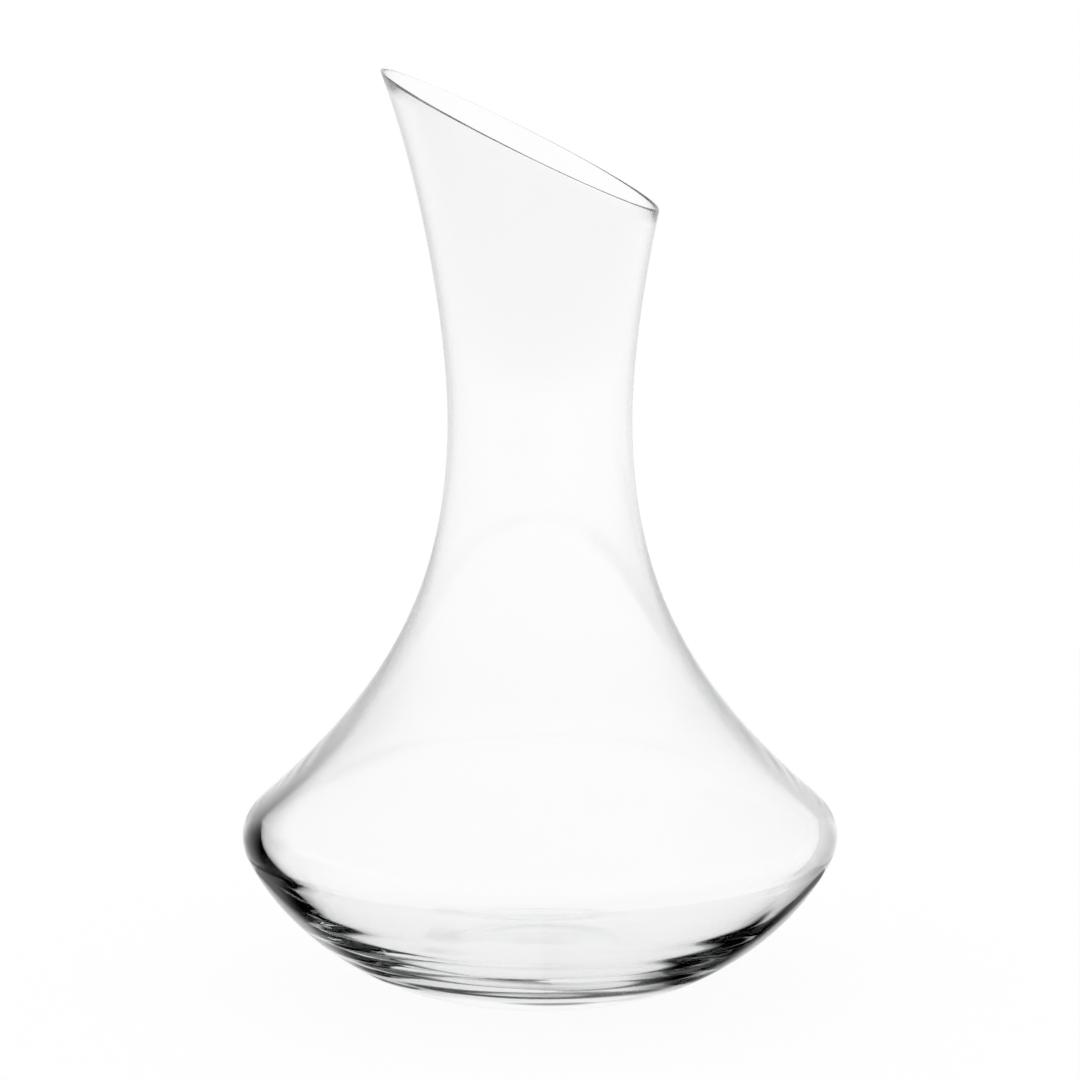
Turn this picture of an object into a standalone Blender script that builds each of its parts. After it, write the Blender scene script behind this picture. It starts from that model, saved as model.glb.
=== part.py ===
"""Wine decanter: one blown-glass vessel with a heavy base, a wide bowl, a slim waist and a slanted mouth.

Lengths are in metres and angles in degrees. The axis of the vessel is Z, the table is the plane Z = 0,
and the mouth is high on the -X side and low on the +X side.
"""

from math import cos, pi, radians, sin, tan

import bmesh
import bpy
from mathutils import Vector

# Foot: a flat resting ring round a shallow push-up
FOOT_RADIUS = 0.0348
PUNT_RADIUS = 0.0270
PUNT_DEPTH = 0.0006

# Bowl: an open curve from the foot to a tight round at the widest level
BELLY_RADIUS = 0.0950
BELLY_HEIGHT = 0.0487
BELLY_ROUND = 0.0114
BELLY_TURN_BELOW = 26.2
BELLY_TURN_ABOVE = 48.8
FOOT_REACH = 0.0144
UNDERSIDE_REACH = 0.0303

# Shoulder and neck: a concave sweep to the waist, then a flare to the lip
SHOULDER_REACH = 0.0615
WAIST_RADIUS = 0.0291
WAIST_HEIGHT = 0.1822
WAIST_REACH_BELOW = 0.0492
WAIST_REACH_ABOVE = 0.0338
FLARE_RADIUS = 0.0517
FLARE_ANGLE = 23.2
FLARE_REACH = 0.0297

# Mouth: a slanted cut through the flare, which runs a little past the cut, with a fire-polished edge
MOUTH_HEIGHT = 0.2675
MOUTH_SLOPE = 26.7
FLARE_SPARE = 0.0034
RIM_ROUND = 0.0009

# Glass thickness: thin at the rim, heavy in the bowl, whose inside follows its outside down to a flat floor
RIM_WALL = 0.0018
WAIST_WALL = 0.0023
BELLY_WALL = 0.0056
BASE_WALL = 0.0036
INNER_BELLY_ROUND = 0.0068
INNER_SHOULDER_REACH = 0.0545
FLOOR_RADIUS = 0.0235
FLOOR_REACH = 0.0225
INNER_UNDERSIDE_REACH = 0.0240

# Clear soda-lime glass
GLASS_COLOUR = (0.96, 0.98, 0.975, 1.0)
GLASS_ROUGHNESS = 0.02
GLASS_IOR = 1.52

# Fineness of the faceted solid
SECTIONS = 64
PUNT_STEPS = 3
UNDERSIDE_STEPS = 9
BELLY_STEPS_BELOW = 3
BELLY_STEPS_ABOVE = 5
SHOULDER_STEPS = 10
NECK_STEPS = 8
RIM_STEPS = 5
FLOOR_STEPS = 11
TRIM_HALVINGS = 40


def bezier_point(handles, t):
    """Point at t on the cubic with the four handles, each (radius, height)."""
    a, b, c, d = handles
    u = 1 - t
    return a * u**3 + b * (3 * u * u * t) + c * (3 * u * t * t) + d * t**3


def bezier(handles, steps, end=1.0):
    """Points on the cubic from its start to the parameter end, both included."""
    return [bezier_point(handles, end * i / steps) for i in range(steps + 1)]


def arc(centre, radius, start, end, steps):
    """Points on a circular arc between two angles, measured from the radial direction."""
    angles = [radians(start + (end - start) * i / steps) for i in range(steps + 1)]
    return [centre + Vector((cos(a), sin(a))) * radius for a in angles]


def underside_line(start, start_reach, end, end_reach, steps):
    """Curve that leaves the foot or the floor level and runs into the lower end of the belly's round."""
    rise = Vector((sin(radians(BELLY_TURN_BELOW)), cos(radians(BELLY_TURN_BELOW))))
    return bezier((start, start + Vector((start_reach, 0)), end - rise * end_reach, end), steps)


def belly_line(radius, round_radius):
    """Round of the belly, in two arcs that meet at the widest level."""
    centre = Vector((radius - round_radius, BELLY_HEIGHT))
    below = arc(centre, round_radius, -BELLY_TURN_BELOW, 0, BELLY_STEPS_BELOW)
    above = arc(centre, round_radius, 0, BELLY_TURN_ABOVE, BELLY_STEPS_ABOVE)
    return below + above[1:]


def shoulder_line(start, start_reach, waist_radius):
    """Hollow sweep from the upper end of the belly's round to the upright waist."""
    rise = Vector((-sin(radians(BELLY_TURN_ABOVE)), cos(radians(BELLY_TURN_ABOVE))))
    waist = Vector((waist_radius, WAIST_HEIGHT))
    handles = (start, start + rise * start_reach, waist - Vector((0, WAIST_REACH_BELOW)), waist)
    return bezier(handles, SHOULDER_STEPS)


def neck_handles(waist_radius, flare_radius):
    """Cubic of one neck surface from the waist to the end of the flare, which the mouth cuts short."""
    waist = Vector((waist_radius, WAIST_HEIGHT))
    flare_height = MOUTH_HEIGHT + tan(radians(MOUTH_SLOPE)) * FLARE_RADIUS + FLARE_SPARE
    flare = Vector((flare_radius, flare_height))
    lean = Vector((sin(radians(FLARE_ANGLE)), cos(radians(FLARE_ANGLE))))
    return waist, waist + Vector((0, WAIST_REACH_ABOVE)), flare - lean * FLARE_REACH, flare


def trim_at_mouth(handles, azimuth):
    """Parameter at which a neck cubic meets the foot of the rim's round, on the slanted mouth plane."""
    low, high = 0.0, 1.0
    for _ in range(TRIM_HALVINGS):
        middle = (low + high) / 2
        point = bezier_point(handles, middle)
        mouth = MOUTH_HEIGHT - RIM_ROUND - tan(radians(MOUTH_SLOPE)) * point.x * cos(azimuth)
        if point.y < mouth:
            low = middle
        else:
            high = middle
    return low


def rim_cap(outer, inner):
    """Rounded edge from the end of the outer neck line to the end of the inner one."""
    rise_out = (outer[-1] - outer[-2]).normalized()
    rise_in = (inner[-1] - inner[-2]).normalized()
    reach = RIM_ROUND * 4 / 3
    cap = bezier((outer[-1], outer[-1] + rise_out * reach, inner[-1] + rise_in * reach, inner[-1]), RIM_STEPS)
    return cap[1:-1]


def punt_line():
    """Push-up under the foot, from its centre out to the resting ring, as a shallow bowed line."""
    radii = [PUNT_RADIUS * i / PUNT_STEPS for i in range(PUNT_STEPS + 1)]
    return [Vector((r, PUNT_DEPTH * (1 - (r / PUNT_RADIUS) ** 2))) for r in radii]


def outer_bowl_line():
    """Outside of the bowl, from the edge of the foot to the waist."""
    foot = Vector((FOOT_RADIUS, 0))
    belly = belly_line(BELLY_RADIUS, BELLY_ROUND)
    underside = underside_line(foot, FOOT_REACH, belly[0], UNDERSIDE_REACH, UNDERSIDE_STEPS)
    shoulder = shoulder_line(belly[-1], SHOULDER_REACH, WAIST_RADIUS)
    return underside + belly[1:] + shoulder[1:]


def inner_bowl_line():
    """Inside of the bowl, from the centre of its flat floor to the waist."""
    floor_centre = Vector((0, PUNT_DEPTH + BASE_WALL))
    floor_edge = floor_centre + Vector((FLOOR_RADIUS, 0))
    belly = belly_line(BELLY_RADIUS - BELLY_WALL, INNER_BELLY_ROUND)
    underside = underside_line(floor_edge, FLOOR_REACH, belly[0], INNER_UNDERSIDE_REACH, FLOOR_STEPS)
    shoulder = shoulder_line(belly[-1], INNER_SHOULDER_REACH, WAIST_RADIUS - WAIST_WALL)
    return [floor_centre] + underside + belly[1:] + shoulder[1:]


def neck_line(waist_radius, flare_radius, azimuth):
    """One neck surface at an azimuth, from the waist up to the rim's round."""
    handles = neck_handles(waist_radius, flare_radius)
    return bezier(handles, NECK_STEPS, trim_at_mouth(handles, azimuth))


def wall_section(azimuth):
    """Section of the wall at one azimuth, from the punt's centre, over the rim, to the floor's centre."""
    outer_neck = neck_line(WAIST_RADIUS, FLARE_RADIUS, azimuth)
    inner_neck = neck_line(WAIST_RADIUS - WAIST_WALL, FLARE_RADIUS - RIM_WALL, azimuth)
    outside = punt_line() + outer_bowl_line() + outer_neck[1:]
    inside = inner_bowl_line() + inner_neck[1:]
    return outside + rim_cap(outer_neck, inner_neck) + inside[::-1]


def loft_sections(mesh):
    """Skins the wall sections round the axis. Their two ends on the axis are shared points."""
    bm = bmesh.new()
    azimuths = [2 * pi * i / SECTIONS for i in range(SECTIONS)]
    sections = [wall_section(a) for a in azimuths]
    punt_centre = bm.verts.new((0, 0, sections[0][0].y))
    floor_centre = bm.verts.new((0, 0, sections[0][-1].y))
    strips = []
    for azimuth, section in zip(azimuths, sections):
        free = [bm.verts.new((p.x * cos(azimuth), p.x * sin(azimuth), p.y)) for p in section[1:-1]]
        strips.append([punt_centre] + free + [floor_centre])
    for near, far in zip(strips, strips[1:] + strips[:1]):
        bm.faces.new((near[0], far[1], near[1]))
        for i in range(1, len(near) - 2):
            bm.faces.new((near[i], far[i], far[i + 1], near[i + 1]))
        bm.faces.new((near[-2], far[-2], near[-1]))
    bmesh.ops.recalc_face_normals(bm, faces=bm.faces)
    bm.to_mesh(mesh)
    bm.free()


def clear_glass():
    """Clear, smooth soda-lime glass."""
    material = bpy.data.materials.new("clear_glass")
    material.use_nodes = True
    shader = material.node_tree.nodes["Principled BSDF"]
    shader.inputs["Base Color"].default_value = GLASS_COLOUR
    shader.inputs["Metallic"].default_value = 0.0
    shader.inputs["Roughness"].default_value = GLASS_ROUGHNESS
    shader.inputs["IOR"].default_value = GLASS_IOR
    shader.inputs["Transmission Weight"].default_value = 1.0
    return material


def build_vessel():
    """The whole decanter: a single piece of glass."""
    mesh = bpy.data.meshes.new("glass_vessel")
    loft_sections(mesh)
    mesh.shade_smooth()
    mesh.set_sharp_from_angle(angle=radians(40))
    mesh.materials.append(clear_glass())
    vessel = bpy.data.objects.new("glass_vessel", mesh)
    bpy.context.scene.collection.objects.link(vessel)


def main():
    for old in list(bpy.data.objects):
        bpy.data.objects.remove(old)
    build_vessel()


main()
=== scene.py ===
"""Looks of the wine decanter: the blown-glass vessel as a fine surface, its glass, and a white studio."""

import math

import bpy
import numpy as np
from bpy.props import FloatProperty, IntProperty, PointerProperty, StringProperty
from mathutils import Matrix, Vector


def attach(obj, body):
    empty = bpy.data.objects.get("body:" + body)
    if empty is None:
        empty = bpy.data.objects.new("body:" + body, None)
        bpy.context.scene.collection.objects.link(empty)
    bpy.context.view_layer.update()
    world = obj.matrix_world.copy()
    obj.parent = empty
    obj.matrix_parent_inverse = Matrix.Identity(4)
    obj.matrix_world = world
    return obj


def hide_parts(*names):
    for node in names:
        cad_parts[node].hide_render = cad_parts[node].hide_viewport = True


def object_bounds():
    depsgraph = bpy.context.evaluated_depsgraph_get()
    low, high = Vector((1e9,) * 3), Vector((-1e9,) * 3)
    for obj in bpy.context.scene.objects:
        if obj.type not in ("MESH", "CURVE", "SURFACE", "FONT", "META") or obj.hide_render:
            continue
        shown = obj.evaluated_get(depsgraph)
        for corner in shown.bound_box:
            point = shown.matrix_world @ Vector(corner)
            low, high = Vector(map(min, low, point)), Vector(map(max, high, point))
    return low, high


bl_info = {
    "name": "Wine decanter",
    "version": (1, 0, 0),
    "blender": (4, 5, 0),
    "location": "View3D > Sidebar > Decanter",
    "description": "Builds a clear blown-glass decanter with a slanted mouth on a white stage",
    "category": "Add Mesh",
}

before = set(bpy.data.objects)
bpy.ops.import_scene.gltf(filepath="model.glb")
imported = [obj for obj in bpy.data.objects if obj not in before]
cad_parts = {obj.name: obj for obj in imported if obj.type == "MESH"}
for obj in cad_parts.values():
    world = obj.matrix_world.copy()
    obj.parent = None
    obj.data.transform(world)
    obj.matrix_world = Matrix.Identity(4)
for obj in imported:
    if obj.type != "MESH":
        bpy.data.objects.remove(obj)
CAD_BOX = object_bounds()

# Here and below, a pair is the start and the end of a smooth step. Lengths are in metres.

# Steps along the wall's section, and how many times finer it is while it is softened
PUNT_STEPS, RING_STEPS, FLOOR_STEPS = 8, 3, 7
OUTER_BOWL_STEPS = (44, 47, 56)  # underside, belly, shoulder
INNER_BOWL_STEPS = (60, 40, 56)
NECK_STEPS, RIM_STEPS = 16, 8
FINER = 4
MOUTH_HALVINGS = 40
ROUND_HANDLE = 4 / 3  # handles of a cubic, as a share of the height of the round that it makes

# Softening: longer near the axis, and none at the ends of a line
SOFT_NEAR_AXIS = 3
SOFT_RADIUS = (0.045, 0.070)
SOFT_END = 4  # in reaches of the softening

# Blowing waves: the second spiral is weaker and longer, and winds the other way
FIRST_WINDS, SECOND_WINDS = 2, 3
SECOND_HEIGHT, SECOND_PACE, SECOND_START = 0.6, 0.62, 1.3
WAVE_MEAN, WAVE_SWING = 0.55, 0.45
WAVE_SIDE = math.radians(215)  # azimuth at which the waves are highest
WAVE_FADE_IN = (0, 0.012)  # distance from the flat of the floor
WAVE_FADE_OUT = (0.008, 0.022)  # depth under the widest level

# Glass
GLASS_IOR = 1.52
GLOSS_HEIGHT = (0.050, 0.078)  # over which the lower bowl's gloss passes into the neck's
FOOT_HEIGHT = (0.0001, 0.0010)  # over which the scuffs end
SCUFF_DETAIL = 2

# Floor and camera
FLOOR_HALF = 6.0
SHADOW_REACH = (0.15, 0.60)  # distance over which the floor's lit share ends
PAINTED_DARK_FLOOR = 0.15  # brightness of the floor near the vessel in reflections, as a share of the painted grey: painted darkness seen only in the glass
PAINTED_GREY_REACH = 0.4  # how far to the side the floor takes the full painted grey that reflections show
SENSOR_WIDTH = 36  # mm
CLIP_END = 100

# Depths of a light path that part one count from the next
TURNED_BACK = 0.5
GONE_INSIDE = 0.5
CROSSED_WALL = 2.5

# Cards that glow with painted reflections and painted dark edges, seen only in the glass: a flat ring round
# the foot, then an upright wall
CARD_INNER_RADIUS = 0.030
CARD_COLUMNS, CARD_ROWS = 240, 220
CARD_FLAT_HEIGHT = 0.001
CARD_RIGHT = (-0.03, 0.03)  # across, from the left's shades to the right's

# Painted reflections for light turned back on the surface. Turns are in degrees from the back, and aside from
# the front.
SURFACE_LIGHT = 0.9
SURFACE_WALL_TURN = (44, 72)
SURFACE_FRONT_TURN = (100, 135)
SURFACE_WIDENING = 0.22  # of the circle on the floor, towards the back
SURFACE_FRONT_ASIDE = (30, 60)
SURFACE_EDGE_FRONT = (0.0, 0.006)  # from the circle outwards
SURFACE_EDGE_LEFT = (-0.004, 0.015)
SURFACE_EDGE_RIGHT = (-0.010, 0.004)
SURFACE_BACK = (-0.030, 0.008)  # from the dark front to the light circle
SURFACE_UNDER = (0.049, 0.056)  # radius of the light disc under the vessel
SURFACE_AGAIN = (0.008, 0.018)  # outside the circle, where the right is light again
SURFACE_AGAIN_TURN = (95, 105)
SURFACE_FAR, SURFACE_FAR_LIGHT = (-0.008, 0.030), 0.28

# Painted reflections and painted dark edges for light turned back once inside the wall
INSIDE_FRONT_TURN = (84, 94)
INSIDE_RAISED = 0.85
INSIDE_RIGHT, INSIDE_RIGHT_RISE, INSIDE_RIGHT_GAIN = 0.5, 0.3, 0.14
INSIDE_RIGHT_HEIGHT = (0, 0.06)
INSIDE_RIGHT_TURN = (45, 85)
GROUND_LEFT, GROUND_LEFT_TURN = 0.16, (45, 80)
GROUND_FRONT, GROUND_FRONT_TURN = 0.85, (96, 108)
GROUND_RIGHT, GROUND_RIGHT_GAIN, GROUND_RIGHT_TURN = 0.14, 0.71, (45, 92)
GROUND_NARROWING = 0.35  # of the circle on the floor at the left, towards the back
LINE_ASIDE = (22, 56)  # over which the dark line widens
LINE_EDGE = (0.6, 1.4)  # in half widths of the line
LINE_INSET = 0.0025  # of the line at the right
LINE_END = (86, 95)
LINE_END_BACK = (50, 62)

# Painted reflections and painted black for light that has run round in the wall
ROUND_BACK, ROUND_BACK_TURN, ROUND_BACK_HEIGHT = 0.85, (36, 46), (0.030, 0.036)
ROUND_DISC = (0.025, 0.045)  # across, over which the light disc ends
DARK_SIDE_START, DARK_SIDE_END = (12, 24), (104, 116)


def length(name, description, default):
    """A size in metres."""
    return FloatProperty(name=name, description=description, default=default, unit="LENGTH", precision=4)


def angle(name, description, degrees):
    """An angle, given in degrees."""
    return FloatProperty(name=name, description=description, default=math.radians(degrees), subtype="ANGLE")


def share(name, description, default):
    """A part of one."""
    return FloatProperty(name=name, description=description, default=default, min=0, max=1, subtype="FACTOR")


class VesselShape(bpy.types.PropertyGroup):
    """Sizes of the vessel's two surfaces, and its glass."""

    belly_radius: length("Belly radius", "Outside radius at the widest level", CAD_BOX[1].x)
    belly_height: length("Belly height", "Height of the widest level", 0.0487)
    belly_round: length("Belly round", "Radius of the tight round at the belly", 0.0114)
    belly_turn_below: angle("Turn below", "How far the round turns under the widest level", 26.2)
    belly_turn_above: angle("Turn above", "How far the round turns over the widest level", 48.8)
    foot_radius: length("Foot radius", "Outside radius of the flat resting ring", 0.0348)
    foot_reach: length("Foot reach", "Handle of the underside's curve at the foot", 0.0144)
    underside_reach: length("Underside reach", "Handle of the underside's curve at the belly", 0.0303)
    punt_radius: length("Punt radius", "Radius of the push-up inside the resting ring", 0.0270)
    punt_depth: length("Punt depth", "Depth of the push-up", 0.0006)
    shoulder_reach: length("Shoulder reach", "Handle of the shoulder's curve at the belly", 0.0615)
    waist_radius: length("Waist radius", "Outside radius at the narrowest level", 0.0291)
    waist_height: length("Waist height", "Height of the narrowest level", 0.1822)
    waist_reach_below: length("Reach below waist", "Handle of the shoulder's curve at the waist", 0.0492)
    waist_reach_above: length("Reach above waist", "Handle of the flare's curve at the waist", 0.0338)
    flare_radius: length("Flare radius", "Outside radius at the end of the flare", 0.0517)
    flare_angle: angle("Flare angle", "Lean of the flare at its end", 23.2)
    flare_reach: length("Flare reach", "Handle of the flare's curve at its end", 0.0297)
    flare_spare: length("Flare spare", "How far the flare's curve runs past the cut", 0.0034)
    mouth_height: length("Mouth height", "Height of the mouth plane on the axis", 0.2675)
    mouth_slope: angle("Mouth slope", "Tilt of the mouth plane", 26.7)
    rim_round: length("Rim round", "Height of the fire-polished edge", 0.0009)
    rim_wall: length("Rim wall", "Glass thickness at the rim", 0.0008)
    waist_wall: length("Waist wall", "Glass thickness at the waist", 0.0018)
    belly_wall: length("Belly wall", "Glass thickness at the belly", 0.0056)
    base_wall: length("Base wall", "Glass thickness over the push-up", 0.0036)
    inner_belly_height: length("Inner belly height", "Height of the widest level inside", 0.0487)
    inner_belly_round: length("Inner belly round", "Radius of the round inside the belly", 0.0068)
    inner_shoulder_reach: length("Inner shoulder reach", "Handle of the inner shoulder at the belly", 0.0545)
    inner_underside_reach: length("Inner underside reach", "Handle of the floor's curve at the belly", 0.0240)
    floor_radius: length("Floor radius", "Radius of the flat middle of the floor", 0.0235)
    floor_reach: length("Floor reach", "Handle of the floor's curve at the flat", 0.0225)
    softness: length("Softness", "Reach of the smoothing that the soft glass gave its curves", 0.0016)
    wave_height: length("Wave height", "Height of the blowing waves inside the lower bowl", 0.00006)
    wave_length: length("Wave length", "Distance between the blowing waves", 0.0085)
    gloss_below: share("Gloss below", "Roughness of the lower bowl", 0.008)
    gloss_above: share("Gloss above", "Roughness of the shoulder and neck", 0.08)
    foot_scuff: share("Foot scuff", "Greatest roughness of the scuffed foot", 0.10)
    scuff_size: length("Scuff size", "Size of the scuffs on the foot", 0.0012)
    glass_tint: StringProperty(
        name="Glass tint", description="Colour of thick glass, as sRGB hex", default="#C4D2CA",
    )
    glass_depth: FloatProperty(
        name="Glass depth", description="Strength of the tint, per metre of glass", default=3,
    )
    columns: IntProperty(name="Columns", description="Points round the axis", default=272)


class StageSetting(bpy.types.PropertyGroup):
    """Camera and studio."""

    camera_distance: length("Camera distance", "From the camera to the point it looks at", 1.5806)
    camera_height: length("Camera aim", "Height of the point that the camera looks at", 0.1435)
    camera_elevation: angle("Camera elevation", "How far the camera looks down", 10.18)
    camera_lens: FloatProperty(
        name="Lens", description="Focal length on a 36 mm sensor, in mm", default=166.67,
    )
    floor_gap: length("Floor gap", "Depth of the floor's face under the foot", 0.0003)
    floor_shadow: share("Floor shadow", "Share of the floor's white that keeps the shadow", 0.07)
    # Painted reflection: the world and the floor show these greys only to light turned back on or inside the
    # glass
    painted_grey_left: share("Room at left", "Brightness that reflections show at the left", 0.82)
    painted_grey_right: share("Room at right", "Brightness that reflections show at the right", 0.9)
    # Painted darkness of the floor near the vessel, seen only in reflections
    painted_dark_floor_near: length("Table near", "Distance up to which the floor is dark in reflections", 0.45)
    painted_dark_floor_far: length("Table far", "Distance from which the floor is light in reflections", 0.8)
    # The cards glow with painted reflections and painted dark edges, seen only in the glass
    card_radius: length("Card radius", "Radius of the dark cards round the vessel", 0.15)
    card_height: length("Card height", "Height of the dark cards", 0.12)
    card_start: angle("Card start", "Turn from the back to the left at which the cards begin to darken", 40)
    card_black: angle("Card black", "Turn from the back to the left at which the cards are black", 76)
    card_low: share("Card low", "Brightness of the cards at the back for light inside the wall", 0.64)
    card_fade_start: length("Fade start", "Height at which the dark side begins to fade", 0.080)
    card_fade_end: length("Fade end", "Height at which the dark side has faded", 0.104)
    turns: FloatProperty(
        name="Turns", description="Turns inside the wall after which light counts as run round", default=1.5,
    )
    # The circle and its dark lines are painted on the cards' floor ring, seen only in the glass
    ring_shift: length("Ring shift", "How far the circle on the floor lies back from the foot", 0.050)
    ring_radius: length("Ring radius", "Radius of the circle on the floor", 0.0985)
    ring_thin: length("Ring thin", "Half the width of the circle's dark line at the front", 0.0030)
    ring_wide: length("Ring wide", "Half the width of the circle's dark line at the sides", 0.009)
    bounces: IntProperty(name="Bounces", description="How often light may turn inside the glass", default=64)


def smooth_step(value, start, end):
    """0 below start, 1 above end, and the cubic 3 t squared minus 2 t cubed between them."""
    t = np.clip((value - start) / (end - start), 0, 1)
    return t * t * (3 - 2 * t)


def fade(value, start, end):
    """1 below start, 0 above end, and smooth between them."""
    return 1 - smooth_step(value, start, end)


def mix(first, second, part):
    """The first where part is 0, the second where it is 1, and in proportion between them."""
    return first + (second - first) * part


def bezier(handles, t):
    """Cubic through four (radius, height) handles at the parameters t, as the Bernstein sum."""
    t = np.asarray(t)[..., None]
    u = 1 - t
    a, b, c, d = (np.asarray(h, float) for h in handles)
    return a * u**3 + b * (3 * u * u * t) + c * (3 * u * t * t) + d * t**3


def arc(centre, radius, start, end, steps):
    """Circular arc as centre plus radius times (cosine, sine) of an evenly stepped angle."""
    a = np.linspace(start, end, steps + 1)
    return np.asarray(centre) + radius * np.stack([np.cos(a), np.sin(a)], -1)


def along(line):
    """Distance of each point of a line from its start."""
    return np.concatenate([[0], np.cumsum(np.linalg.norm(np.diff(line, axis=0), axis=1))])


def bowl_line(s, start, start_reach, belly, belly_round, under_reach, over_reach, waist_radius, steps):
    """One surface of the bowl from foot or floor to waist: a cubic, an arc round the belly's widest point
    and a second cubic."""
    under, over, upper = (FINER * count for count in steps)
    centre = np.array(belly) - (belly_round, 0)
    belly_arc = arc(centre, belly_round, -s.belly_turn_below, s.belly_turn_above, over)
    rise_in = np.array([math.sin(s.belly_turn_below), math.cos(s.belly_turn_below)])
    rise_out = np.array([-math.sin(s.belly_turn_above), math.cos(s.belly_turn_above)])
    start = np.array(start)
    waist = np.array([waist_radius, s.waist_height])
    underside = bezier(
        (start, start + (start_reach, 0), belly_arc[0] - under_reach * rise_in, belly_arc[0]),
        np.linspace(0, 1, under + 1),
    )
    shoulder = bezier(
        (belly_arc[-1], belly_arc[-1] + over_reach * rise_out, waist - (0, s.waist_reach_below), waist),
        np.linspace(0, 1, upper + 1),
    )
    return np.concatenate([underside, belly_arc[1:], shoulder[1:]])


def soften(line, reach):
    """Running average of a line along its own length, weighted by a bell curve of the given reach, which is
    longer near the axis. Both ends are held."""
    distance = along(line)
    reach = reach * mix(SOFT_NEAR_AXIS, 1, smooth_step(line[:, :1], *SOFT_RADIUS))
    weight = np.gradient(distance) * np.exp(-(((distance[:, None] - distance) / reach) ** 2) / 2)
    average = weight @ line / weight.sum(1, keepdims=True)
    free = smooth_step(np.minimum(distance, distance[-1] - distance)[:, None], 0, SOFT_END * reach)
    return line + free * (average - line)


def outside_line(s):
    """Outside from the push-up's centre to the waist: half a cosine wave, the flat resting ring and the
    bowl."""
    punt_radius = np.linspace(0, s.punt_radius, PUNT_STEPS * FINER + 1)
    punt_height = s.punt_depth * (1 + np.cos(math.pi * punt_radius / s.punt_radius)) / 2
    punt = np.stack([punt_radius, punt_height], -1)
    ring = np.linspace([s.punt_radius, 0], [s.foot_radius, 0], RING_STEPS * FINER + 1)
    bowl = bowl_line(
        s, ring[-1], s.foot_reach, (s.belly_radius, s.belly_height), s.belly_round,
        s.underside_reach, s.shoulder_reach, s.waist_radius, OUTER_BOWL_STEPS,
    )
    return soften(np.concatenate([punt, ring[1:], bowl[1:]]), s.softness)[::FINER]


def inside_line(s):
    """Inside from the floor's centre to the waist: a flat disc and the bowl."""
    floor_height = s.punt_depth + s.base_wall
    floor = np.linspace([0, floor_height], [s.floor_radius, floor_height], FLOOR_STEPS * FINER + 1)
    bowl = bowl_line(
        s, floor[-1], s.floor_reach, (s.belly_radius - s.belly_wall, s.inner_belly_height),
        s.inner_belly_round, s.inner_underside_reach, s.inner_shoulder_reach,
        s.waist_radius - s.waist_wall, INNER_BOWL_STEPS,
    )
    return soften(np.concatenate([floor, bowl[1:]]), s.softness)[::FINER]


def neck_lines(s, waist_radius, flare_radius, azimuth):
    """One neck surface for every azimuth: a cubic from waist to flare, cut by halving where it meets the
    mouth plane."""
    flare_height = s.mouth_height + math.tan(s.mouth_slope) * s.flare_radius + s.flare_spare
    waist = np.array([waist_radius, s.waist_height])
    flare = np.array([flare_radius, flare_height])
    lean = np.array([math.sin(s.flare_angle), math.cos(s.flare_angle)])
    handles = (waist, waist + (0, s.waist_reach_above), flare - s.flare_reach * lean, flare)
    low, high = np.zeros_like(azimuth), np.ones_like(azimuth)
    for _ in range(MOUTH_HALVINGS):
        middle = (low + high) / 2
        point = bezier(handles, middle)
        mouth = s.mouth_height - s.rim_round - math.tan(s.mouth_slope) * point[:, 0] * np.cos(azimuth)
        below = point[:, 1] < mouth
        low, high = np.where(below, middle, low), np.where(below, high, middle)
    return bezier(handles, np.linspace(0, 1, NECK_STEPS + 1)[:, None] * low)


def rim_lines(s, outer, inner):
    """Rounded edge between the ends of two neck surfaces: a cubic that leaves and joins the walls along
    their rise."""
    rise_out = outer[-1] - outer[-2]
    rise_in = inner[-1] - inner[-2]
    rise_out /= np.linalg.norm(rise_out, axis=-1, keepdims=True)
    rise_in /= np.linalg.norm(rise_in, axis=-1, keepdims=True)
    reach = s.rim_round * ROUND_HANDLE
    t = np.linspace(0, 1, RIM_STEPS + 1)[1:-1, None, None]
    u = 1 - t
    first, second = outer[-1] + reach * rise_out, inner[-1] + reach * rise_in
    return outer[-1] * u**3 + first * (3 * u * u * t) + second * (3 * u * t * t) + inner[-1] * t**3


def blowing_waves(s, line, azimuth):
    """Waves left inside the lower bowl by blowing and turning: height times the sum of two spirals, each the
    cosine of the distance along the wall over the wave length plus a whole number of turns, faded in from
    the floor and out at the belly. Gives (radius, height) shifts along the wall's normal."""
    step = np.gradient(line, axis=0)
    distance = along(line) - s.floor_radius
    normal = np.stack([-step[:, 1], step[:, 0]], -1) / np.linalg.norm(step, axis=1)[:, None]
    turn = 2 * math.pi * distance[:, None] / s.wave_length
    first = np.cos(turn + FIRST_WINDS * azimuth)
    second = SECOND_HEIGHT * np.cos(SECOND_PACE * turn - SECOND_WINDS * azimuth + SECOND_START)
    spirals = (first + second) * (WAVE_MEAN + WAVE_SWING * np.cos(azimuth - WAVE_SIDE))
    depth = s.belly_height - line[:, 1]
    kept = smooth_step(distance, *WAVE_FADE_IN) * smooth_step(depth, *WAVE_FADE_OUT)
    return s.wave_height * (kept[:, None] * spirals)[..., None] * normal[:, None, :]


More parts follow.
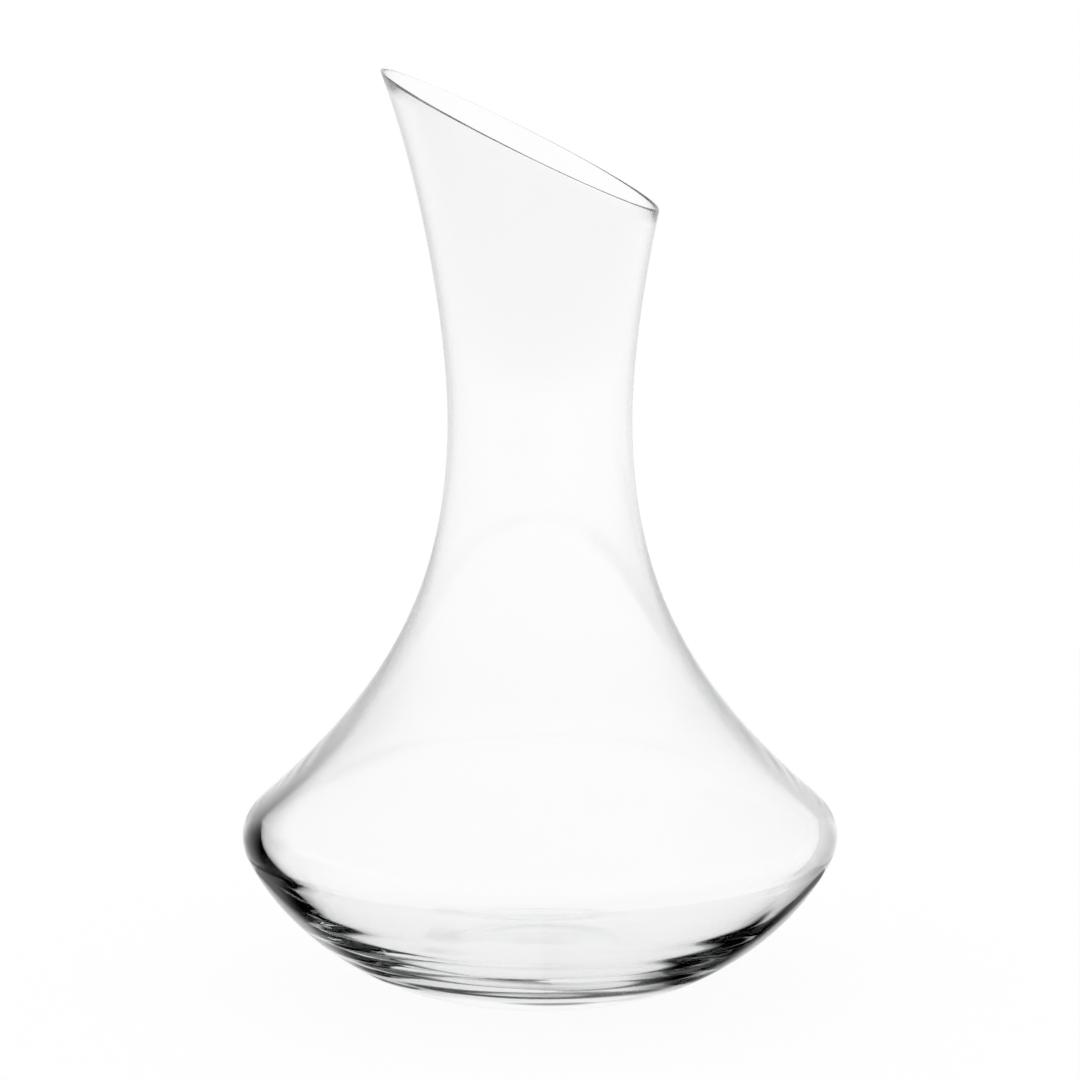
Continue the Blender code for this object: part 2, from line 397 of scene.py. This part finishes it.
def vessel_rows(s):
    """(radius, height) of every row of the vessel at every azimuth, from the push-up over the rim to the
    floor."""
    azimuth = np.linspace(0, 2 * math.pi, s.columns, endpoint=False)
    outside, inside = outside_line(s), inside_line(s)
    outer_neck = neck_lines(s, s.waist_radius, s.flare_radius, azimuth)
    inner_neck = neck_lines(s, s.waist_radius - s.waist_wall, s.flare_radius - s.rim_wall, azimuth)
    rim = rim_lines(s, outer_neck, inner_neck)

    def everywhere(line):
        return np.repeat(line[:, None, :], s.columns, 1)

    waved = everywhere(inside) + blowing_waves(s, inside, azimuth)
    rows = np.concatenate([everywhere(outside), outer_neck[1:], rim, inner_neck[::-1], waved[::-1][1:]])
    return rows, azimuth


def grid_quads(index):
    """Corners of the faces of a grid of point numbers that goes round in its second index."""
    after = np.roll(index, -1, 1)
    return np.stack([index[:-1], after[:-1], after[1:], index[1:]], -1).reshape(-1, 4)


def surface_mesh(name, points):
    """Closed mesh of a grid of points that goes round in its second index and has one point at each end of
    its first."""
    rows, columns = points.shape[:2]
    free = points[1:-1].reshape(-1, 3)
    vertices = np.concatenate([points[0, :1], free, points[-1, :1]])
    ring = np.arange((rows - 2) * columns).reshape(rows - 2, columns) + 1
    after = np.roll(ring, -1, 1)
    quads = grid_quads(ring)
    last = len(vertices) - 1
    first_fan = np.stack([np.zeros(columns, int), after[0], ring[0]], -1)
    last_fan = np.stack([ring[-1], after[-1], np.full(columns, last)], -1)
    corners = np.concatenate([first_fan.ravel(), quads.ravel(), last_fan.ravel()])
    counts = np.concatenate([np.full(columns, 3), np.full(len(quads), 4), np.full(columns, 3)])
    starts = np.concatenate([[0], np.cumsum(counts)[:-1]])
    mesh = bpy.data.meshes.new(name)
    mesh.vertices.add(len(vertices))
    mesh.vertices.foreach_set("co", vertices.astype(np.float32).ravel())
    mesh.loops.add(len(corners))
    mesh.loops.foreach_set("vertex_index", corners.astype(np.int32))
    mesh.polygons.add(len(counts))
    mesh.polygons.foreach_set("loop_start", starts.astype(np.int32))
    mesh.update(calc_edges=True)
    mesh.validate()
    mesh.shade_smooth()
    return mesh


def linear(hex_colour):
    """sRGB hex colour as linear RGBA."""
    channels = np.array([int(hex_colour[i:i + 2], 16) for i in (1, 3, 5)]) / 255
    low = channels / 12.92
    high = ((channels + 0.055) / 1.055) ** 2.4
    return (*np.where(channels <= 0.04045, low, high), 1.0)


WHITE = linear("#FFFFFF")


def node(tree, kind, settings=(), values=(), links=()):
    """Adds a node with its settings, socket values and links from other nodes' outputs."""
    made = tree.nodes.new(kind)
    for key, value in dict(settings).items():
        setattr(made, key, value)
    for key, value in dict(values).items():
        made.inputs[key].default_value = value
    for key, source in dict(links).items():
        tree.links.new(source, made.inputs[key])
    return made


# Settings of nodes that are used more than once
SMOOTH = {"interpolation_type": "SMOOTHSTEP"}
MULTIPLY, MAXIMUM = {"operation": "MULTIPLY"}, {"operation": "MAXIMUM"}
GREATER, LESS = {"operation": "GREATER_THAN"}, {"operation": "LESS_THAN"}
NUMBERS = {"data_type": "FLOAT"}


def clear_glass(s):
    """Soda-lime glass, mouth-blown and fire-polished: clear, with a trace of green where it is thick. The
    lower bowl, chilled last, has the sharpest gloss, and the foot is scuffed by standing on tables."""
    material = bpy.data.materials.new("soda_lime_glass")
    material.use_nodes = True
    tree = material.node_tree
    shader = tree.nodes["Principled BSDF"]
    shader.inputs["Base Color"].default_value = WHITE
    shader.inputs["IOR"].default_value = GLASS_IOR
    shader.inputs["Transmission Weight"].default_value = 1.0
    place = node(tree, "ShaderNodeTexCoord").outputs["Object"]
    height = node(tree, "ShaderNodeSeparateXYZ", {}, {}, {0: place}).outputs["Z"]

    low, high = GLOSS_HEIGHT
    limits = {"From Min": low, "From Max": high, "To Min": s.gloss_below, "To Max": s.gloss_above}
    gloss = node(tree, "ShaderNodeMapRange", SMOOTH, limits, {"Value": height}).outputs[0]
    low, high = FOOT_HEIGHT
    limits = {"From Min": low, "From Max": high, "To Min": s.foot_scuff, "To Max": 0.0}
    foot = node(tree, "ShaderNodeMapRange", SMOOTH, limits, {"Value": height}).outputs[0]
    grain = {"Scale": 1 / s.scuff_size, "Detail": SCUFF_DETAIL}
    grit = node(tree, "ShaderNodeTexNoise", {}, grain, {"Vector": place}).outputs[0]
    scuffed = node(tree, "ShaderNodeMath", MULTIPLY, {}, {0: foot, 1: grit}).outputs[0]
    rough = node(tree, "ShaderNodeMath", MAXIMUM, {}, {0: gloss, 1: scuffed}).outputs[0]
    tree.links.new(rough, shader.inputs["Roughness"])

    tint = {"Color": linear(s.glass_tint), "Density": s.glass_depth}
    depth = node(tree, "ShaderNodeVolumeAbsorption", {}, tint)
    tree.links.new(depth.outputs[0], tree.nodes["Material Output"].inputs["Volume"])
    return material


class DECANTER_OT_vessel(bpy.types.Operator):
    """Builds the blown-glass vessel."""

    bl_idname = "decanter.vessel"
    bl_label = "Glass vessel"

    def execute(self, context):
        s = context.scene.decanter_vessel
        rows, azimuth = vessel_rows(s)
        radius, height = rows[..., 0], rows[..., 1]
        points = np.stack([radius * np.cos(azimuth), radius * np.sin(azimuth), height], -1)
        mesh = surface_mesh("blown_glass_vessel", points)
        mesh.materials.append(clear_glass(s))
        vessel = bpy.data.objects.new("blown_glass_vessel", mesh)
        context.scene.collection.objects.link(vessel)
        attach(vessel, "root")
        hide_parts("glass_vessel")
        return {"FINISHED"}


def card_points(s):
    """Cards that glow with painted reflections, as a tray round the vessel: a flat ring from under the foot
    outwards, then an upright wall."""
    azimuth = np.linspace(0, 2 * math.pi, CARD_COLUMNS, endpoint=False)
    ring = np.linspace(CARD_INNER_RADIUS, s.card_radius, CARD_ROWS)
    radius = np.concatenate([ring, np.full(CARD_ROWS, s.card_radius)])[:, None]
    wall = np.linspace(0, s.card_height, CARD_ROWS)
    height = np.concatenate([np.zeros(CARD_ROWS + 1), wall[1:]])[:, None] - s.floor_gap / 2
    across, back = radius * np.cos(azimuth), radius * np.sin(azimuth)
    return np.stack([across, back, np.repeat(height, CARD_COLUMNS, 1)], -1)


class CardPlace:
    """Where the points of the cards lie, seen from the axis of the vessel."""

    def __init__(self, s, points):
        self.x, self.y, self.z = np.moveaxis(points, -1, 0)
        self.turn = np.degrees(np.arctan2(self.x, self.y))  # from the back, positive to the right
        self.away = np.abs(self.turn)
        self.aside = np.degrees(np.arctan2(np.abs(self.x), -self.y))  # from the front, to either side
        self.right = smooth_step(self.x, *CARD_RIGHT)
        self.behind = np.maximum(self.y, 0)
        self.past = np.hypot(self.x, self.y - s.ring_shift) - s.ring_radius  # outside the circle
        self.flat = self.z < CARD_FLAT_HEIGHT
        self.raised = smooth_step(self.z, s.card_fade_start, s.card_fade_end)


def surface_shade(p):
    """Painted reflection: brightness of the glowing cards for light turned back on the glass surface.

    Going round from the back to the left the wall falls from light to black, and it comes back towards the
    front and upwards. The right stays light. On the floor a circle that lies back from the foot parts a
    light middle from dark surroundings."""
    bright = fade(-p.turn, *SURFACE_WALL_TURN)
    wall = mix(bright, SURFACE_LIGHT, p.raised)
    wall = np.maximum(wall, SURFACE_LIGHT * smooth_step(p.away, *SURFACE_FRONT_TURN))

    beyond = p.past - SURFACE_WIDENING * p.behind
    front = fade(p.aside, *SURFACE_FRONT_ASIDE)
    edges = zip(SURFACE_EDGE_LEFT, SURFACE_EDGE_RIGHT, SURFACE_EDGE_FRONT)
    start, end = (mix(mix(left, right, p.right), ahead, front) for left, right, ahead in edges)
    circle = fade(beyond, start, end) * smooth_step(p.y, *SURFACE_BACK)
    under = fade(np.hypot(p.x, p.y), *SURFACE_UNDER)
    again = p.right * smooth_step(beyond, *SURFACE_AGAIN) * fade(p.turn, *SURFACE_AGAIN_TURN)
    far = SURFACE_FAR_LIGHT * smooth_step(p.y, *SURFACE_FAR)
    floor = SURFACE_LIGHT * np.maximum.reduce([circle, under, again, far])
    return np.where(p.flat, floor, wall)


def line_width(s, turned):
    """Half the width of the circle's painted dark line, thin in the middle and wide at the sides."""
    return mix(s.ring_thin, s.ring_wide, smooth_step(turned, *LINE_ASIDE))


def dark_line(distance, half):
    """1 on a line of the given half width, and 0 away from it."""
    start, end = LINE_EDGE
    return fade(np.abs(distance), start * half, end * half)


def inside_shade(s, p):
    """Painted reflection and painted dark edges: brightness of the glowing cards for light turned back once
    inside the wall.

    The wall is graded as for the surface, and half light at the right. On the floor the light circle has a
    dark line round it at the front, and a second such line lies mirrored at the back."""
    left = s.card_low * fade(-p.turn, math.degrees(s.card_start), math.degrees(s.card_black))
    left = np.maximum(left, smooth_step(-p.turn, *INSIDE_FRONT_TURN))
    left = left + p.raised * np.maximum(INSIDE_RAISED - left, 0)
    rise = INSIDE_RIGHT_RISE * smooth_step(p.z, *INSIDE_RIGHT_HEIGHT)
    gain = INSIDE_RIGHT_GAIN * smooth_step(p.turn, *INSIDE_RIGHT_TURN)
    wall = mix(left, INSIDE_RIGHT + rise + gain, p.right)

    left = np.maximum(
        GROUND_LEFT * fade(-p.turn, *GROUND_LEFT_TURN),
        GROUND_FRONT * smooth_step(-p.turn, *GROUND_FRONT_TURN),
    )
    right = GROUND_RIGHT + GROUND_RIGHT_GAIN * smooth_step(p.turn, *GROUND_RIGHT_TURN)
    outside = p.past + GROUND_NARROWING * p.behind * (1 - p.right)
    ground = np.where(outside < 0, 1.0, mix(left, right, p.right))
    line = dark_line(p.past + LINE_INSET * p.right, line_width(s, p.aside)) * fade(p.aside, *LINE_END)
    mirrored = np.hypot(p.x, p.y + s.ring_shift) - s.ring_radius
    back = dark_line(mirrored, line_width(s, p.away)) * fade(p.away, *LINE_END_BACK)
    return np.where(p.flat, ground * (1 - np.maximum(line, back)), wall)


def round_shade(p):
    """Painted reflection and painted black: brightness of the glowing cards for light that has run round in
    the wall: light low at the back and on the left of the floor's circle, and black elsewhere."""
    back = ROUND_BACK * fade(p.away, *ROUND_BACK_TURN) * fade(p.z, *ROUND_BACK_HEIGHT)
    disc = np.where(p.flat & (p.past < 0), fade(p.x, *ROUND_DISC), 0)
    return np.maximum(back, disc)


def dark_side(p):
    """Painted black seen through the glass: the share of the cards that is black also for light that has run
    round and crossed the wall: the left.
    """
    return smooth_step(-p.turn, *DARK_SIDE_START) * fade(-p.turn, *DARK_SIDE_END)


def reflected(tree):
    """1 for light that was turned back on or inside the near wall, which it has entered and left at most
    once."""
    path = node(tree, "ShaderNodeLightPath").outputs
    turned = node(tree, "ShaderNodeMath", GREATER, {1: TURNED_BACK}, {0: path["Glossy Depth"]}).outputs[0]
    near = node(tree, "ShaderNodeMath", LESS, {1: CROSSED_WALL}, {0: path["Transmission Depth"]}).outputs[0]
    return node(tree, "ShaderNodeMath", MULTIPLY, {}, {0: turned, 1: near}).outputs[0]


def painted_reflection_grey(tree, s, coordinate, reach):
    """Painted reflection: the grey that reflections show, from left to right."""
    across = node(tree, "ShaderNodeSeparateXYZ", {}, {}, {0: coordinate}).outputs["X"]
    limits = {"From Min": -reach, "From Max": reach, "To Min": s.painted_grey_left, "To Max": s.painted_grey_right}
    return node(tree, "ShaderNodeMapRange", {}, limits, {"Value": across}).outputs[0]


def stage_material(name):
    """Empty node material of the studio, with its output node."""
    material = bpy.data.materials.new(name)
    material.use_nodes = True
    material.node_tree.nodes.clear()
    return material, material.node_tree, node(material.node_tree, "ShaderNodeOutputMaterial")


def white_paper(s):
    """Seamless paper: white to the camera and through the glass, partly lit so that it keeps the vessel's
    shadow, and painted grey in reflections, with painted darkness near the vessel."""
    material, tree, output = stage_material("white_paper")
    place = node(tree, "ShaderNodeTexCoord").outputs["Object"]
    away = node(tree, "ShaderNodeVectorMath", {"operation": "LENGTH"}, {}, {0: place}).outputs["Value"]

    lit = node(tree, "ShaderNodeBsdfDiffuse", {}, {"Color": WHITE}).outputs[0]
    even = node(tree, "ShaderNodeEmission", {}, {"Color": WHITE, "Strength": 1}).outputs[0]
    near, far = SHADOW_REACH
    limits = {"From Min": near, "From Max": far, "To Min": s.floor_shadow, "To Max": 0.0}
    kept = node(tree, "ShaderNodeMapRange", SMOOTH, limits, {"Value": away}).outputs[0]
    paper = node(tree, "ShaderNodeMixShader", {}, {}, {0: kept, 1: even, 2: lit}).outputs[0]

    # Painted darkness of the floor near the vessel, seen only in reflections
    limits = {"From Min": s.painted_dark_floor_near, "From Max": s.painted_dark_floor_far, "To Min": PAINTED_DARK_FLOOR, "To Max": 1.0}
    painted_floor_shade = node(tree, "ShaderNodeMapRange", SMOOTH, limits, {"Value": away}).outputs[0]
    reflected_grey = painted_reflection_grey(tree, s, place, PAINTED_GREY_REACH)
    shade = node(tree, "ShaderNodeMath", MULTIPLY, {}, {0: reflected_grey, 1: painted_floor_shade}).outputs[0]
    grey = node(tree, "ShaderNodeEmission", {}, {}, {"Strength": shade}).outputs[0]
    seen = node(tree, "ShaderNodeMixShader", {}, {}, {0: reflected(tree), 1: paper, 2: grey}).outputs[0]
    tree.links.new(seen, output.inputs["Surface"])
    return material


def painted_reflection_card(s):
    """Glowing graded card that paints reflections and dark edges into the glass: only light turned back on or
    inside the glass meets it. Other light passes through, and what has run round in the wall and then crossed
    it meets painted black on the dark side."""
    material, tree, output = stage_material("painted_reflection_card")
    path = node(tree, "ShaderNodeLightPath").outputs
    shade = node(tree, "ShaderNodeAttribute", {"attribute_name": "shade_surface"}).outputs["Fac"]
    kinds = (("shade_inside", "Transmission Depth", GONE_INSIDE), ("shade_round", "Glossy Depth", s.turns))
    for name, depth, most in kinds:
        other = node(tree, "ShaderNodeAttribute", {"attribute_name": name}).outputs["Fac"]
        more = node(tree, "ShaderNodeMath", GREATER, {1: most}, {0: path[depth]}).outputs[0]
        shade = node(tree, "ShaderNodeMix", NUMBERS, {}, {0: more, 2: shade, 3: other}).outputs[0]
    near = reflected(tree)
    lit = node(tree, "ShaderNodeMath", MULTIPLY, {}, {0: shade, 1: near}).outputs[0]
    glow = node(tree, "ShaderNodeEmission", {}, {}, {"Strength": lit}).outputs[0]
    clear = node(tree, "ShaderNodeBsdfTransparent").outputs[0]
    side = node(tree, "ShaderNodeAttribute", {"attribute_name": "dark_side"}).outputs["Fac"]
    beside = node(tree, "ShaderNodeMath", MULTIPLY, {}, {0: more, 1: side}).outputs[0]
    shown = node(tree, "ShaderNodeMath", MAXIMUM, {}, {0: near, 1: beside}).outputs[0]
    seen = node(tree, "ShaderNodeMixShader", {}, {}, {0: shown, 1: clear, 2: glow}).outputs[0]
    tree.links.new(seen, output.inputs["Surface"])
    return material


def studio_world(s):
    """World that is white, and painted grey for light turned back on or inside the glass, as a painted
    reflection.
    """
    world = bpy.data.worlds.new("studio")
    world.use_nodes = True
    tree = world.node_tree
    direction = node(tree, "ShaderNodeTexCoord").outputs["Generated"]
    reflected_grey = painted_reflection_grey(tree, s, direction, 1)
    strength = node(tree, "ShaderNodeMix", NUMBERS, {2: 1.0}, {0: reflected(tree), 3: reflected_grey}).outputs[0]
    background = tree.nodes["Background"]
    background.inputs["Color"].default_value = WHITE
    tree.links.new(strength, background.inputs["Strength"])
    return world


def paper_floor(s):
    """White floor, a hair below the foot."""
    half, z = FLOOR_HALF, -s.floor_gap
    corners = [(-half, -half, z), (half, -half, z), (half, half, z), (-half, half, z)]
    mesh = bpy.data.meshes.new("white_paper")
    mesh.from_pydata(corners, [], [(0, 1, 2, 3)])
    mesh.materials.append(white_paper(s))
    return bpy.data.objects.new("floor", mesh)


def painted_reflection_tray(s):
    """Glowing cards that paint reflections into the glass, with their painted shades as attributes of their
    points.
    """
    points = card_points(s)
    rows, columns = points.shape[:2]
    quads = grid_quads(np.arange(rows * columns).reshape(rows, columns))
    mesh = bpy.data.meshes.new("painted_reflection_cards")
    mesh.from_pydata(points.reshape(-1, 3).tolist(), [], quads.tolist())
    place = CardPlace(s, points)
    shades = {
        "shade_surface": surface_shade(place),
        "shade_inside": inside_shade(s, place),
        "shade_round": round_shade(place),
        "dark_side": dark_side(place),
    }
    for name, shade in shades.items():
        mesh.attributes.new(name, "FLOAT", "POINT").data.foreach_set("value", shade.ravel())
    mesh.materials.append(painted_reflection_card(s))
    cards = bpy.data.objects.new("painted_reflection_cards", mesh)
    # Hidden from the camera, from diffuse light and from shadows, so that the cards show only as painted
    # reflections in the glass
    cards.visible_camera = cards.visible_diffuse = cards.visible_shadow = False
    return cards


def front_camera(s):
    """Camera at the photo's angle."""
    aim = Vector((0, 0, s.camera_height))
    back = Vector((0, -math.cos(s.camera_elevation), math.sin(s.camera_elevation)))
    data = bpy.data.cameras.new("camera")
    data.sensor_width = SENSOR_WIDTH
    data.lens = s.camera_lens
    data.clip_end = CLIP_END
    camera = bpy.data.objects.new("camera", data)
    camera.location = aim + back * s.camera_distance
    camera.rotation_euler = (-back).to_track_quat("-Z", "Y").to_euler()
    return camera


class DECANTER_OT_stage(bpy.types.Operator):
    """Sets up the white floor, the glowing cards that paint reflections into the glass, the soft light and
    the camera.
    """

    bl_idname = "decanter.stage"
    bl_label = "Stage"

    def execute(self, context):
        s = context.scene.decanter_stage
        scene = context.scene
        scene.view_settings.view_transform = "Standard"
        for limit in ("max_bounces", "glossy_bounces", "transmission_bounces"):
            setattr(scene.cycles, limit, s.bounces)
        scene.world = studio_world(s)
        for item in (paper_floor(s), painted_reflection_tray(s)):
            scene.collection.objects.link(item)
        camera = front_camera(s)
        scene.collection.objects.link(camera)
        scene.camera = camera
        return {"FINISHED"}


class DECANTER_PT_panel(bpy.types.Panel):
    """Lists the decanter's operators and sizes."""

    bl_label = "Decanter"
    bl_space_type = "VIEW_3D"
    bl_region_type = "UI"
    bl_category = "Decanter"

    def draw(self, context):
        for group in (context.scene.decanter_vessel, context.scene.decanter_stage):
            for name in group.__annotations__:
                self.layout.prop(group, name)
        for operator in (DECANTER_OT_vessel, DECANTER_OT_stage):
            self.layout.operator(operator.bl_idname)


CLASSES = (VesselShape, StageSetting, DECANTER_OT_vessel, DECANTER_OT_stage, DECANTER_PT_panel)


def register():
    for cls in CLASSES:
        bpy.utils.register_class(cls)
    bpy.types.Scene.decanter_vessel = PointerProperty(type=VesselShape)
    bpy.types.Scene.decanter_stage = PointerProperty(type=StageSetting)


def unregister():
    del bpy.types.Scene.decanter_stage
    del bpy.types.Scene.decanter_vessel
    for cls in reversed(CLASSES):
        bpy.utils.unregister_class(cls)


def main():
    register()
    bpy.ops.decanter.vessel()
    bpy.ops.decanter.stage()


if __name__ == "__main__":
    main()
